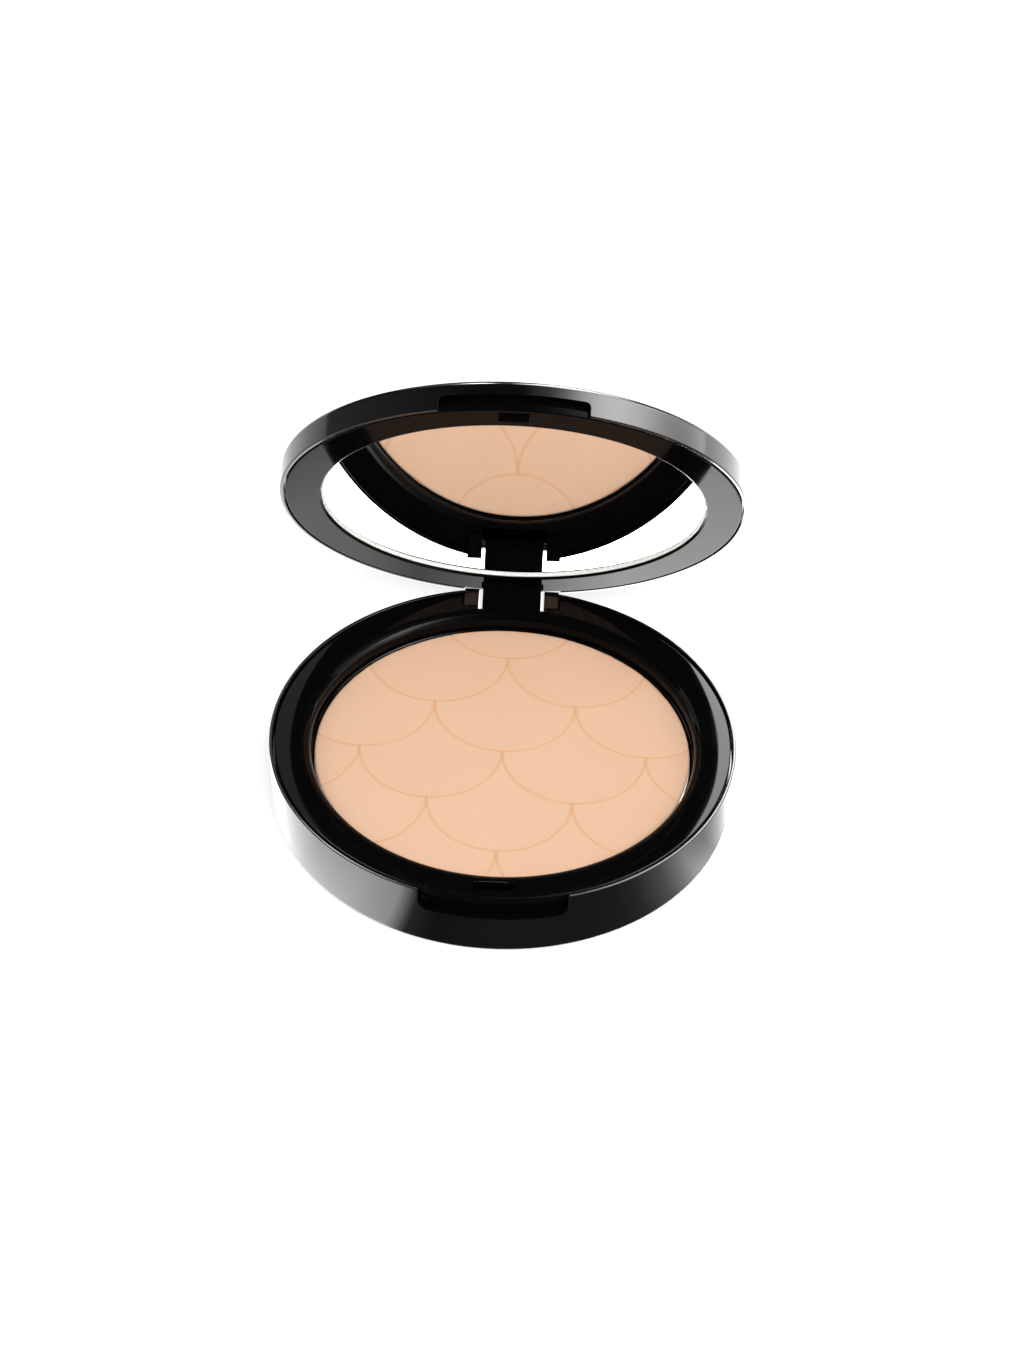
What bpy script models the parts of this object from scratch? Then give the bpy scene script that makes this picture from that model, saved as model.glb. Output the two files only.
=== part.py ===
"""Powder compact: a round black compact with a mirror in its hinged lid.

The base is a casing with a deck that snaps into it, round a pan of pressed
powder. The lid is a shell with a frame that holds the mirror. A tongue on the
lid shell reaches down into a notch at the back of the base and turns there on
a steel pin. The lid is modelled open, as the compact is shown in use.

Sizes are in millimetres, and MM turns them into metres. +Z is up, +X is to
the right and the thumb notch faces -Y. Z = 0 is the surface it stands on.
"""
from math import cos, pi, radians, sin

import bmesh
import bpy
from mathutils import Matrix, Vector

MM = 0.001
TURN_STEPS = 96
GAP = 0.3  # room left between pieces that touch on the real object
PAST = 5.0  # how far a cutter reaches past what it cuts
LAP = 1.0  # how far blocks that join run into each other

# Base casing
RIM_RADIUS = 39.0
RIM_Z = 11.8
ABOVE = RIM_Z + PAST
FOOT_RADIUS = 38.4
FOOT_ROUND = 1.0
LIP_THICKNESS = 0.6
WALL_INNER_RADIUS = 37.4
FLOOR_THICKNESS = 1.6
SEAT_RIB_RADII = (20.0, 28.4)
SEAT_RIB_THICKNESS = 1.2
SEAT_RIB_TOP = 3.0
WELL_INNER_RADIUS = 31.8
WELL_OUTER_RADIUS = 32.9
WELL_TOP = 8.4
LABEL_RECESS_RADIUS = 16.3
LABEL_RECESS_DEPTH = 0.5

# Deck, the glossy ring round the powder
DECK_TOP = 11.6
DECK_THICKNESS = 1.1
DECK_RADIUS = RIM_RADIUS - LIP_THICKNESS - GAP
DECK_BORE_RADIUS = 32.0
DECK_ROLL = 1.9  # radius of the rolled edge down into the bore
INNER_SKIRT_RADIUS = 33.6
OUTER_SKIRT_RADII = (36.2, 37.1)
OUTER_SKIRT_BOTTOM = 6.8

# Pan, powder, glue and label
PAN_RADIUS = 31.5
PAN_WALL = 0.3
PAN_BOTTOM = 3.8
PAN_TOP = 8.2
POWDER_EDGE_Z = 8.1
POWDER_CROWN = 0.5
GLUE_THICKNESS = 0.2
PAN_GLUE_RADII = (19.6, 30.0)
LABEL_RADIUS = 15.9
LABEL_THICKNESS = 0.2

# Hinge
AXIS_Y = 37.0
AXIS_Z = 5.3
OPEN_ANGLE = 61.3  # degrees from closed, as modelled
BLOCK_HALF_WIDTH = 8.2
BLOCK_REAR_Y = 38.75
BLOCK_FRONT_Y = 31.9
BLOCK_TOP_FRONT_Y = 34.25
EAR_FRONT_Y = 38.0
NOTCH_HALF_WIDTH = 5.7
NOTCH_FRONT_Y = 33.35
TONGUE_HALF_WIDTH = 5.15
KNUCKLE_RADIUS = 2.5
TONGUE_REAR = 1.6
HEEL_DROP = 3.0
PIN_RADIUS = 0.8
PIN_LENGTH = 15.6
BORE_RADIUS = PIN_RADIUS + GAP

# Lid, with Z measured up from its own rim when it is closed
PARTING_GAP = 0.15
LID_RIM_Z = RIM_Z + PARTING_GAP
LID_HEIGHT = 4.9
LID_CROWN = 0.3
LID_ROUND = 1.0
LID_CEILING = 3.2
LID_INNER_RADIUS = 37.6
LID_LEDGE_Z = 1.5
FRAME_RADIUS = RIM_RADIUS - LIP_THICKNESS - GAP
FRAME_BORE_RADIUS = 32.2
FRAME_LIP = 0.5
FRAME_THICKNESS = 1.2
FRAME_SKIRT_RADII = (36.3, 37.3)
FRAME_SKIRT_TOP = 2.9
MIRROR_RADIUS = 33.6
MIRROR_FACE = 0.8
MIRROR_THICKNESS = 1.6
MIRROR_GLUE_RADIUS = 28.0

# Thumb notches and latch
THUMB_HALF_WIDTH = 12.0
THUMB_DEPTH_BASE = 4.2
THUMB_DEPTH_LID = 2.4
THUMB_ROUND = 1.6
THUMB_INNER_RADIUS = 37.35
HOOK_HALF_WIDTH = 2.5
HOOK_Y = (-35.8, -34.9)
HOOK_LENGTH = 0.8
SLOT_HALF_WIDTH = 3.2
SLOT_Y = (-36.2, -34.4)


def clear_scene():
    for obj in list(bpy.data.objects):
        bpy.data.objects.remove(obj, do_unlink=True)


def new_collection(name):
    collection = bpy.data.collections.new(name)
    bpy.context.scene.collection.children.link(collection)
    return collection


def new_material(name, colour, roughness, metallic=0.0):
    material = bpy.data.materials.new(name)
    material.use_nodes = True
    shader = material.node_tree.nodes["Principled BSDF"]
    shader.inputs["Base Color"].default_value = (*colour, 1.0)
    shader.inputs["Roughness"].default_value = roughness
    shader.inputs["Metallic"].default_value = metallic
    material.diffuse_color = (*colour, 1.0)
    return material


def arc(centre_r, centre_z, radius, start, end, segments=5):
    """Points along an arc, from start to end degrees, in a profile's plane."""
    points = []
    for index in range(segments + 1):
        angle = radians(start + (end - start) * index / segments)
        points.append((centre_r + radius * cos(angle), centre_z + radius * sin(angle)))
    return points


def add_object(name, mesh, parts, material, parent=None, location=(0.0, 0.0, 0.0)):
    obj = bpy.data.objects.new(name, mesh)
    mesh.materials.append(material)
    parts.objects.link(obj)
    obj.parent = parent
    obj.location = Vector(location) * MM
    return obj


def turned(name, profile, ring, parts, material, parent=None, location=(0.0, 0.0, 0.0)):
    """A profile of (radius, z) points turned round Z; a ring's profile is closed."""
    mesh = bpy.data.meshes.new(name)
    bm = bmesh.new()
    verts = [bm.verts.new((r * MM, 0.0, z * MM)) for r, z in profile]
    for first, second in zip(verts, verts[1:]):
        bm.edges.new((first, second))
    if ring:
        bm.edges.new((verts[-1], verts[0]))
    bm.to_mesh(mesh)
    bm.free()
    obj = add_object(name, mesh, parts, material, parent, location)
    screw = obj.modifiers.new("turn", "SCREW")
    screw.axis = "Z"
    screw.angle = 2 * pi
    screw.steps = TURN_STEPS
    screw.render_steps = TURN_STEPS
    screw.use_merge_vertices = True
    screw.merge_threshold = 1e-6
    return obj


def box(name, x_range, y_range, z_range, helpers, parent=None, location=(0.0, 0.0, 0.0)):
    """A helper box between two corners, kept out of the render."""
    low = Vector((x_range[0], y_range[0], z_range[0])) * MM
    high = Vector((x_range[1], y_range[1], z_range[1])) * MM
    mesh = bpy.data.meshes.new(name)
    bm = bmesh.new()
    size = high - low
    place = Matrix.Translation((low + high) / 2) @ Matrix.Diagonal((*size, 1.0))
    bmesh.ops.create_cube(bm, size=1.0, matrix=place)
    bm.to_mesh(mesh)
    bm.free()
    return add_helper(name, mesh, helpers, parent, location)


def rod(name, radius, length, helpers, parent=None, location=(0.0, 0.0, 0.0), along_x=True):
    """A helper cylinder, along X or along Z."""
    mesh = bpy.data.meshes.new(name)
    bm = bmesh.new()
    turn = Matrix.Rotation(pi / 2, 4, "Y") if along_x else Matrix.Identity(4)
    bmesh.ops.create_cone(
        bm, cap_ends=True, segments=32 if along_x else TURN_STEPS,
        radius1=radius * MM, radius2=radius * MM, depth=length * MM, matrix=turn)
    bm.to_mesh(mesh)
    bm.free()
    return add_helper(name, mesh, helpers, parent, location)


def add_helper(name, mesh, helpers, parent, location):
    obj = bpy.data.objects.new(name, mesh)
    helpers.objects.link(obj)
    obj.parent = parent
    obj.location = Vector(location) * MM
    obj.display_type = "WIRE"
    obj.hide_render = True
    return obj


def combine(obj, other, operation):
    modifier = obj.modifiers.new(other.name, "BOOLEAN")
    modifier.operation = operation
    modifier.solver = "EXACT"
    modifier.object = other


def round_lower_corners(obj, radius, low_side):
    """Rounds the two edges along Y at a helper box's bottom, or at its top."""
    bm = bmesh.new()
    bm.from_mesh(obj.data)
    level = (min if low_side else max)(vert.co.z for vert in bm.verts)
    edges = []
    for edge in bm.edges:
        first, second = (vert.co for vert in edge.verts)
        along_y = abs(first.y - second.y) > abs(first.x - second.x) + abs(first.z - second.z)
        if along_y and abs(first.z - level) < 1e-7:
            edges.append(edge)
    bmesh.ops.bevel(bm, geom=edges, offset=radius * MM, segments=4, profile=0.5, affect="EDGES")
    bm.to_mesh(obj.data)
    bm.free()


def thumb_cutter(name, z_range, low_side, helpers, parent=None, location=(0.0, 0.0, 0.0)):
    """Cuts a thumb notch through the front wall, but not what stands behind it."""
    cutter = box(name, (-THUMB_HALF_WIDTH, THUMB_HALF_WIDTH),
                 (-RIM_RADIUS - PAST, PAST - WELL_INNER_RADIUS), z_range, helpers, parent, location)
    round_lower_corners(cutter, THUMB_ROUND, low_side)
    core = rod(name + "_core", THUMB_INNER_RADIUS, 2 * RIM_RADIUS, helpers, parent, location,
               along_x=False)
    combine(cutter, core, "DIFFERENCE")
    return cutter


def casing_profile():
    points = [(0.0, FLOOR_THICKNESS)]
    for radius in SEAT_RIB_RADII:
        points += [
            (radius, FLOOR_THICKNESS), (radius, SEAT_RIB_TOP),
            (radius + SEAT_RIB_THICKNESS, SEAT_RIB_TOP),
            (radius + SEAT_RIB_THICKNESS, FLOOR_THICKNESS)]
    lip_radius = RIM_RADIUS - LIP_THICKNESS
    ledge_z = DECK_TOP - DECK_THICKNESS - GAP
    points += [
        (WELL_INNER_RADIUS, FLOOR_THICKNESS), (WELL_INNER_RADIUS, WELL_TOP),
        (WELL_OUTER_RADIUS, WELL_TOP), (WELL_OUTER_RADIUS, FLOOR_THICKNESS),
        (WALL_INNER_RADIUS, FLOOR_THICKNESS), (WALL_INNER_RADIUS, ledge_z),
        (lip_radius, ledge_z), (lip_radius, RIM_Z), (RIM_RADIUS, RIM_Z)]
    points += arc(FOOT_RADIUS - FOOT_ROUND, FOOT_ROUND, FOOT_ROUND, 0, -90)
    points += [
        (LABEL_RECESS_RADIUS, 0.0), (LABEL_RECESS_RADIUS, LABEL_RECESS_DEPTH),
        (0.0, LABEL_RECESS_DEPTH)]
    return points


def build_casing(parts, helpers, material):
    casing = turned("base_casing", casing_profile(), False, parts, material)
    sides = (-BLOCK_HALF_WIDTH, BLOCK_HALF_WIDTH)
    hinge_block = [
        ("block_lower", (BLOCK_FRONT_Y, BLOCK_REAR_Y), (FOOT_ROUND, WELL_TOP)),
        ("block_upper", (BLOCK_TOP_FRONT_Y, BLOCK_REAR_Y), (WELL_TOP - LAP, DECK_TOP))]
    for name, y_range, z_range in hinge_block:
        combine(casing, box(name, sides, y_range, z_range, helpers), "UNION")
    behind = (BLOCK_REAR_Y, RIM_RADIUS + PAST)
    combine(casing, box("rear_flat", sides, behind, (-PAST, ABOVE), helpers), "DIFFERENCE")
    over_ears = box("ear_top", sides, (EAR_FRONT_Y, RIM_RADIUS + PAST), (DECK_TOP, ABOVE), helpers)
    combine(casing, over_ears, "DIFFERENCE")
    combine(casing, notch_cutter("casing_notch", helpers), "DIFFERENCE")
    bore = rod("casing_bore", BORE_RADIUS, 2 * BLOCK_HALF_WIDTH + PAST, helpers,
               location=(0.0, AXIS_Y, AXIS_Z))
    combine(casing, bore, "DIFFERENCE")
    thumb_range = (RIM_Z - THUMB_DEPTH_BASE, ABOVE)
    combine(casing, thumb_cutter("thumb_base", thumb_range, True, helpers), "DIFFERENCE")
    return casing


def notch_cutter(name, helpers):
    """The room for the lid's tongue, from the top of the base to its foot."""
    sides = (-NOTCH_HALF_WIDTH, NOTCH_HALF_WIDTH)
    return box(name, sides, (NOTCH_FRONT_Y, RIM_RADIUS + PAST), (-PAST, ABOVE), helpers)


def deck_profile():
    underside = DECK_TOP - DECK_THICKNESS
    skirt_bottom = WELL_TOP + GAP
    skirt_in, skirt_out = OUTER_SKIRT_RADII
    points = [
        (DECK_RADIUS, DECK_TOP), (DECK_RADIUS, underside), (skirt_out, underside),
        (skirt_out, OUTER_SKIRT_BOTTOM), (skirt_in, OUTER_SKIRT_BOTTOM), (skirt_in, underside),
        (INNER_SKIRT_RADIUS, underside), (INNER_SKIRT_RADIUS, skirt_bottom),
        (DECK_BORE_RADIUS, skirt_bottom)]
    points += arc(DECK_BORE_RADIUS + DECK_ROLL, DECK_TOP - DECK_ROLL, DECK_ROLL, 180, 90, 7)
    return points


def build_deck(parts, helpers, material):
    deck = turned("base_deck", deck_profile(), True, parts, material)
    block_sides = (-BLOCK_HALF_WIDTH - GAP, BLOCK_HALF_WIDTH + GAP)
    clearance = box("block_clearance", block_sides, (BLOCK_TOP_FRONT_Y - GAP, RIM_RADIUS + PAST),
                    (0.0, ABOVE), helpers)
    combine(deck, clearance, "DIFFERENCE")
    combine(deck, notch_cutter("deck_notch", helpers), "DIFFERENCE")
    slot = box("latch_slot", (-SLOT_HALF_WIDTH, SLOT_HALF_WIDTH), SLOT_Y, (0.0, ABOVE), helpers)
    combine(deck, slot, "DIFFERENCE")
    return deck


def build_filling(parts, powder, aluminium, glue, paper):
    turned("powder_pan", [
        (0.0, PAN_BOTTOM + PAN_WALL), (PAN_RADIUS - PAN_WALL, PAN_BOTTOM + PAN_WALL),
        (PAN_RADIUS - PAN_WALL, PAN_TOP), (PAN_RADIUS, PAN_TOP),
        (PAN_RADIUS, PAN_BOTTOM), (0.0, PAN_BOTTOM)], False, parts, aluminium)
    powder_radius = PAN_RADIUS - PAN_WALL - GAP
    powder_bottom = PAN_BOTTOM + PAN_WALL + GAP
    crown = crowned(powder_radius, POWDER_EDGE_Z, POWDER_CROWN)
    turned("pressed_powder", crown + [(powder_radius, powder_bottom), (0.0, powder_bottom)],
           False, parts, powder)
    glue_bottom = SEAT_RIB_TOP + GAP
    flat_ring("pan_adhesive", PAN_GLUE_RADII, (glue_bottom, glue_bottom + GLUE_THICKNESS),
              parts, glue)
    turned("shade_label", [
        (0.0, LABEL_THICKNESS), (LABEL_RADIUS, LABEL_THICKNESS), (LABEL_RADIUS, 0.0), (0.0, 0.0)],
        False, parts, paper)


def crowned(radius, edge_z, rise, segments=6):
    """A shallow dome's profile, from its middle out to its edge."""
    points = []
    for index in range(segments + 1):
        share = index / segments
        points.append((radius * share, edge_z + rise * (1.0 - share * share)))
    return points


def flat_ring(name, radii, z_range, parts, material, parent=None, location=(0.0, 0.0, 0.0)):
    inner, outer = radii
    low, high = z_range
    profile = [(outer, high), (outer, low), (inner, low), (inner, high)]
    return turned(name, profile, True, parts, material, parent, location)


def build_pin(parts, steel):
    mesh = bpy.data.meshes.new("hinge_pin")
    bm = bmesh.new()
    bmesh.ops.create_cone(
        bm, cap_ends=True, segments=32, radius1=PIN_RADIUS * MM, radius2=PIN_RADIUS * MM,
        depth=PIN_LENGTH * MM, matrix=Matrix.Rotation(pi / 2, 4, "Y"))
    bm.to_mesh(mesh)
    bm.free()
    return add_object("hinge_pin", mesh, parts, steel, location=(0.0, AXIS_Y, AXIS_Z))


def lid_shell_profile():
    lip_radius = RIM_RADIUS - LIP_THICKNESS
    shoulder = RIM_RADIUS - LID_ROUND
    points = crowned(shoulder, LID_HEIGHT, LID_CROWN)
    points += arc(shoulder, LID_HEIGHT - LID_ROUND, LID_ROUND, 75, 0)
    points += [
        (RIM_RADIUS, 0.0), (lip_radius, 0.0), (lip_radius, LID_LEDGE_Z),
        (LID_INNER_RADIUS, LID_LEDGE_Z), (LID_INNER_RADIUS, LID_CEILING), (0.0, LID_CEILING)]
    return points


def tongue_mesh():
    """The tongue's side outline, drawn round the pin and pushed out along X."""
    top = LID_RIM_Z + LID_HEIGHT - LID_ROUND - AXIS_Z
    outline = [(-KNUCKLE_RADIUS, top)]
    outline += arc(0.0, 0.0, KNUCKLE_RADIUS, 180, 270, 8)
    outline += [(TONGUE_REAR, -HEEL_DROP), (TONGUE_REAR, top)]
    mesh = bpy.data.meshes.new("hinge_tongue")
    bm = bmesh.new()
    left = [bm.verts.new((-TONGUE_HALF_WIDTH * MM, y * MM, z * MM)) for y, z in outline]
    face = bm.faces.new(left)
    grown = bmesh.ops.extrude_face_region(bm, geom=[face])
    moved = [item for item in grown["geom"] if isinstance(item, bmesh.types.BMVert)]
    bmesh.ops.translate(bm, verts=moved, vec=(2 * TONGUE_HALF_WIDTH * MM, 0.0, 0.0))
    bmesh.ops.recalc_face_normals(bm, faces=bm.faces)
    bm.to_mesh(mesh)
    bm.free()
    return mesh


def build_lid_shell(parts, helpers, material, hinge, at_rim):
    shell = turned("lid_shell", lid_shell_profile(), False, parts, material, hinge, at_rim)
    clear = BLOCK_HALF_WIDTH + GAP
    ears = box("ear_clearance", (-clear, clear), (EAR_FRONT_Y - 2 * GAP, RIM_RADIUS + PAST),
               (-PAST, GAP), helpers, hinge, at_rim)
    combine(shell, ears, "DIFFERENCE")
    thumb = thumb_cutter("thumb_lid", (-PAST, THUMB_DEPTH_LID), False, helpers, hinge, at_rim)
    combine(shell, thumb, "DIFFERENCE")
    tongue = add_helper("hinge_tongue", tongue_mesh(), helpers, hinge, (0.0, 0.0, 0.0))
    combine(shell, tongue, "UNION")
    bore = rod("tongue_bore", BORE_RADIUS, 4 * TONGUE_HALF_WIDTH, helpers, hinge)
    combine(shell, bore, "DIFFERENCE")
    return shell


def build_mirror_frame(parts, helpers, material, hinge, at_rim):
    step_radius = MIRROR_RADIUS + GAP
    skirt_in, skirt_out = FRAME_SKIRT_RADII
    frame = turned("mirror_frame", [
        (skirt_out, FRAME_SKIRT_TOP), (skirt_out, FRAME_THICKNESS),
        (FRAME_RADIUS, FRAME_THICKNESS), (FRAME_RADIUS, 0.0), (FRAME_BORE_RADIUS, 0.0),
        (FRAME_BORE_RADIUS, FRAME_LIP), (step_radius, FRAME_LIP),
        (step_radius, FRAME_THICKNESS), (skirt_in, FRAME_THICKNESS),
        (skirt_in, FRAME_SKIRT_TOP)], True, parts, material, hinge, at_rim)
    clear = TONGUE_HALF_WIDTH + GAP
    opening = box("tongue_clearance", (-clear, clear),
                  (AXIS_Y - KNUCKLE_RADIUS - GAP, RIM_RADIUS + PAST), (-PAST, PAST),
                  helpers, hinge, at_rim)
    combine(frame, opening, "DIFFERENCE")
    hook = box("latch_hook", (-HOOK_HALF_WIDTH, HOOK_HALF_WIDTH), HOOK_Y,
               (-HOOK_LENGTH, FRAME_THICKNESS / 2), helpers, hinge, at_rim)
    combine(frame, hook, "UNION")
    return frame


def build_mirror(parts, mirror, glue, hinge, at_rim):
    back = MIRROR_FACE + MIRROR_THICKNESS
    turned("mirror_glass", [
        (0.0, back), (MIRROR_RADIUS, back), (MIRROR_RADIUS, MIRROR_FACE), (0.0, MIRROR_FACE)],
        False, parts, mirror, hinge, at_rim)
    glue_z = back + GAP
    turned("mirror_adhesive", [
        (0.0, glue_z + GLUE_THICKNESS), (MIRROR_GLUE_RADIUS, glue_z + GLUE_THICKNESS),
        (MIRROR_GLUE_RADIUS, glue_z), (0.0, glue_z)], False, parts, glue, hinge, at_rim)


def main():
    clear_scene()
    parts = new_collection("parts")
    helpers = new_collection("helpers")
    black = new_material("black_gloss_plastic", (0.006, 0.006, 0.007), 0.12)
    powder = new_material("pressed_powder", (0.84, 0.57, 0.39), 0.9)
    aluminium = new_material("aluminium", (0.78, 0.78, 0.79), 0.35, 1.0)
    steel = new_material("pin_steel", (0.62, 0.62, 0.63), 0.3, 1.0)
    mirror = new_material("mirror", (0.92, 0.93, 0.93), 0.02, 1.0)
    glue = new_material("adhesive", (0.75, 0.72, 0.62), 0.6)
    paper = new_material("label_paper", (0.86, 0.86, 0.84), 0.7)

    build_casing(parts, helpers, black)
    build_deck(parts, helpers, black)
    build_filling(parts, powder, aluminium, glue, paper)
    build_pin(parts, steel)

    hinge = bpy.data.objects.new("lid_hinge", None)
    parts.objects.link(hinge)
    hinge.location = Vector((0.0, AXIS_Y, AXIS_Z)) * MM
    hinge.rotation_euler.x = -radians(OPEN_ANGLE)
    at_rim = (0.0, -AXIS_Y, LID_RIM_Z - AXIS_Z)
    build_lid_shell(parts, helpers, black, hinge, at_rim)
    build_mirror_frame(parts, helpers, black, hinge, at_rim)
    build_mirror(parts, mirror, glue, hinge, at_rim)


main()
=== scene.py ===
from math import atan2, cos, exp, hypot, pi, radians, sin, sqrt, tan

import bmesh
import bpy
from mathutils import Matrix, Vector


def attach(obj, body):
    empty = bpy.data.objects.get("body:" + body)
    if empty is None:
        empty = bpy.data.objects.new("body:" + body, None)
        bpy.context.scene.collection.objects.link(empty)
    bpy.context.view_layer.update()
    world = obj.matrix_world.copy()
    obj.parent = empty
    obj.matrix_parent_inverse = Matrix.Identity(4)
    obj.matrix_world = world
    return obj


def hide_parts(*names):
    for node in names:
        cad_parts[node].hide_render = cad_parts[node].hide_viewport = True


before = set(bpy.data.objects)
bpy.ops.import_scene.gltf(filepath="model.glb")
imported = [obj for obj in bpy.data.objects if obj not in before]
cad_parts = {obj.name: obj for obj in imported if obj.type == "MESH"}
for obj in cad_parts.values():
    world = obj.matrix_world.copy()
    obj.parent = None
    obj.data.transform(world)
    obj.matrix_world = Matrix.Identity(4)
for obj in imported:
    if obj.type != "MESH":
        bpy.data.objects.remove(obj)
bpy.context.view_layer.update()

MM = 0.001
COLUMN_STEP = 1.25  # degrees between a turned mesh's columns, at most
EDGE = 0.15  # small radius on moulded edges
SHARP = radians(35)

# The hinge and the lid's place, as in the CAD
AXIS = Vector((0.0, 37.0, 5.3))
OPEN_ANGLE = 61.3
LID_RIM_Z = 11.95
LID_MATRIX = (
    Matrix.Translation(AXIS * MM)
    @ Matrix.Rotation(-radians(OPEN_ANGLE), 4, "X")
    @ Matrix.Translation(Vector((0.0, -AXIS.y, LID_RIM_Z - AXIS.z)) * MM))

RIM_RADIUS = 39.0
RIM_Z = 11.8
POWDER_RADIUS = 31.4  # the cake just covers the edge of its pan
POWDER_EDGE_Z = 8.5
PAN_INNER = 31.2
PAN_TOP = 8.2
POWDER_BOTTOM = 4.4
POWDER_CROWN = 0.15
# The cake's edge rolls down over the last share of its radius
POWDER_ROLL_START = 0.99
POWDER_ROLL_WIDTH = 0.01
POWDER_ROLL_DROP = 0.15


# ---------------------------------------------------------------- mesh tools

def rounded(corners, closed, steps=5):
    """Turns (x, y, radius) corners into a smooth outline of Vector points."""
    points = []
    count = len(corners)
    for index, (x, y, radius) in enumerate(corners):
        here = Vector((x, y))
        ends = not closed and index in (0, count - 1)
        if radius == 0 or ends:
            points.append(here)
            continue
        before = (Vector(corners[index - 1][:2]) - here).normalized()
        after = (Vector(corners[(index + 1) % count][:2]) - here).normalized()
        half = before.angle(after) / 2
        centre = here + (before + after).normalized() * (radius / sin(half))
        start = here + before * (radius / tan(half)) - centre
        sweep = pi - 2 * half
        turn = sweep if before.cross(after) < 0 else -sweep
        for step in range(steps + 1):
            spoke = start.copy()
            spoke.rotate(Matrix.Rotation(turn * step / steps, 2))
            points.append(centre + spoke)
    return points


def columns(stops=()):
    """Angles round a turned mesh, clear of the sides that later cuts follow."""
    marks = sorted({radians(stop) for stop in stops} | {0.0, 2 * pi})
    angles = []
    for low, high in zip(marks, marks[1:]):
        parts = max(1, int((high - low) / radians(COLUMN_STEP)) + 1)
        angles += [low + (high - low) * part / parts for part in range(parts)]
    return angles


def stops_for(*half_widths):
    """Column angles on each side of cuts at x = ±half_width, front and rear."""
    stops = []
    for half_width in half_widths:
        for radius in (RIM_RADIUS + 0.6, 36.6):
            lean = 90 - atan2(sqrt(radius ** 2 - half_width ** 2), half_width) * 180 / pi
            stops += [90 - lean, 90 + lean, 270 - lean, 270 + lean]
    return stops


def spun(name, outline, closed, angles):
    """Turns an outline of (radius, z) round Z, in millimetres."""
    bm = bmesh.new()
    rings = []
    for radius, z in outline:
        if radius < 1e-6:
            rings.append([bm.verts.new((0.0, 0.0, z * MM))])
        else:
            rings.append([
                bm.verts.new((radius * cos(a) * MM, radius * sin(a) * MM, z * MM))
                for a in angles])
    pairs = list(zip(rings, rings[1:]))
    if closed:
        pairs.append((rings[-1], rings[0]))
    count = len(angles)
    for low, high in pairs:
        for index in range(count):
            after = (index + 1) % count
            corners = [
                low[index % len(low)], low[after % len(low)],
                high[after % len(high)], high[index % len(high)]]
            bm.faces.new(list(dict.fromkeys(corners)))
    return finished_mesh(name, bm)


def finished_mesh(name, bm):
    bmesh.ops.recalc_face_normals(bm, faces=bm.faces)
    mesh = bpy.data.meshes.new(name)
    bm.to_mesh(mesh)
    bm.free()
    obj = bpy.data.objects.new(name, mesh)
    bpy.context.scene.collection.objects.link(obj)
    return obj


def prism(name, outline, axis, low, high):
    """Pushes a closed outline out along an axis.

    The outline is in (y, z) for X, in (x, z) for Y and in (x, y) for Z.
    """
    def place(point, along):
        u, v = point
        return {"X": (along, u, v), "Y": (u, along, v), "Z": (u, v, along)}[axis]
    bm = bmesh.new()
    near = [bm.verts.new(Vector(place(p, low)) * MM) for p in outline]
    far = [bm.verts.new(Vector(place(p, high)) * MM) for p in outline]
    bm.faces.new(near)
    bm.faces.new(far)
    count = len(outline)
    for index in range(count):
        after = (index + 1) % count
        bm.faces.new((near[index], near[after], far[after], far[index]))
    return finished_mesh(name, bm)


def block(name, x_range, y_range, z_range):
    (x0, x1), (z0, z1) = x_range, z_range
    return prism(name, [(x0, z0), (x1, z0), (x1, z1), (x0, z1)], "Y", *y_range)


def rod(name, radius, half_length, y, z, sides=48):
    outline = [
        (y + radius * cos(2 * pi * k / sides), z + radius * sin(2 * pi * k / sides))
        for k in range(sides)]
    return prism(name, outline, "X", -half_length, half_length)


def combine(obj, other, operation):
    """One exact Boolean, applied at once; the other mesh is used up."""
    modifier = obj.modifiers.new("combine", "BOOLEAN")
    modifier.operation = operation
    modifier.solver = "EXACT"
    modifier.object = other
    settle(obj)
    bpy.data.objects.remove(other, do_unlink=True)


def settle(obj):
    """Applies an object's modifiers."""
    bpy.context.view_layer.update()
    depsgraph = bpy.context.evaluated_depsgraph_get()
    mesh = bpy.data.meshes.new_from_object(obj.evaluated_get(depsgraph))
    obj.modifiers.clear()
    obj.data = mesh


def soften(obj, width=EDGE, segments=3):
    """Rounds the edges that cuts left sharp, then shades the mesh smooth."""
    bm = bmesh.new()
    bm.from_mesh(obj.data)
    bmesh.ops.remove_doubles(bm, verts=bm.verts, dist=0.004 * MM)
    bmesh.ops.dissolve_degenerate(bm, edges=bm.edges, dist=0.004 * MM)
    sharp = [e for e in bm.edges if e.is_manifold and e.calc_face_angle(0.0) > SHARP]
    bmesh.ops.bevel(bm, geom=sharp, offset=width * MM, segments=segments, profile=0.5,
                    affect="EDGES", clamp_overlap=True, harden_normals=False)
    bm.to_mesh(obj.data)
    bm.free()
    smooth(obj)


def smooth(obj, angle=SHARP):
    obj.data.shade_smooth()
    obj.data.set_sharp_from_angle(angle=angle)
    modifier = obj.modifiers.new("normals", "WEIGHTED_NORMAL")
    modifier.keep_sharp = True
    modifier.weight = 80
    settle(obj)


def seat(obj, body, material, *nodes):
    """Puts a finished piece in place: on its body, with its material, for its CAD nodes."""
    obj.data.materials.clear()
    obj.data.materials.append(material)
    if body == "lid":
        obj.data.transform(LID_MATRIX)
    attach(obj, body)
    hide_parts(*nodes)
    return obj


# ---------------------------------------------------------------- materials

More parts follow.
